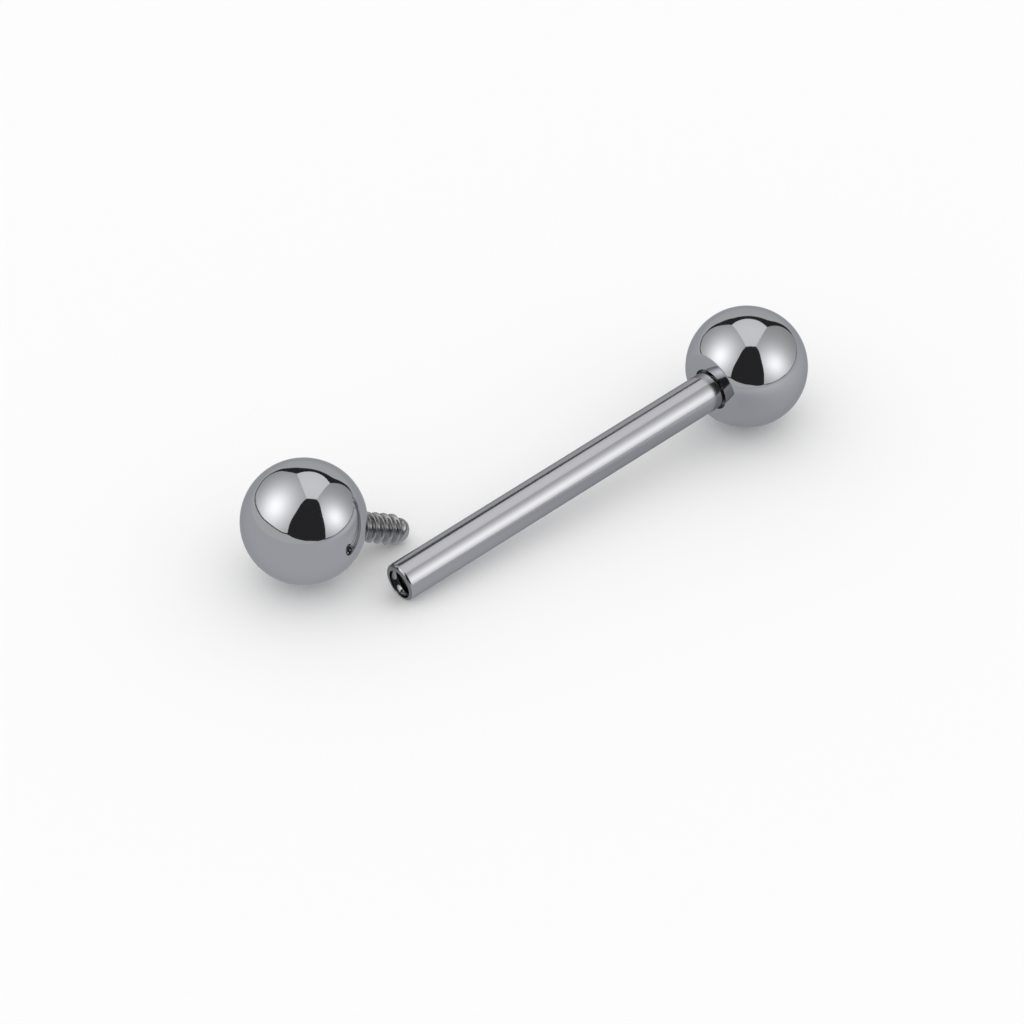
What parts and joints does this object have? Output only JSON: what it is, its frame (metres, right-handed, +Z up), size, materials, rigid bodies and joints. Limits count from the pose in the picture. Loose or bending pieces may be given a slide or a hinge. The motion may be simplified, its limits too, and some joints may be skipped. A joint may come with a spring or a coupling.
{
  "type": "straight internally threaded piercing barbell, one ball unscrewed",
  "caption": "Straight internally threaded piercing barbell: a round bar with a ball screwed on its far end and the matching threaded ball lying loose beside its open end.",
  "frame": {"origin": "on the surface it rests on, under the middle of the whole lay", "axes": "+X along the floor below the bar, from its open end to its screwed ball; +Y from the bar to the loose ball's side; +Z up"},
  "size_m": [0.025, 0.0086, 0.005],
  "materials": {
    "polished_steel": "mirror-polished surgical steel",
    "thread_steel": "machined and tumbled surgical steel"
  },
  "bodies": {
    "root": {"bar": "polished_steel", "screwed_ball": "polished_steel", "screwed_ball_post": "thread_steel", "loose_ball": "polished_steel", "loose_ball_post": "thread_steel"}
  },
  "joints": []
}
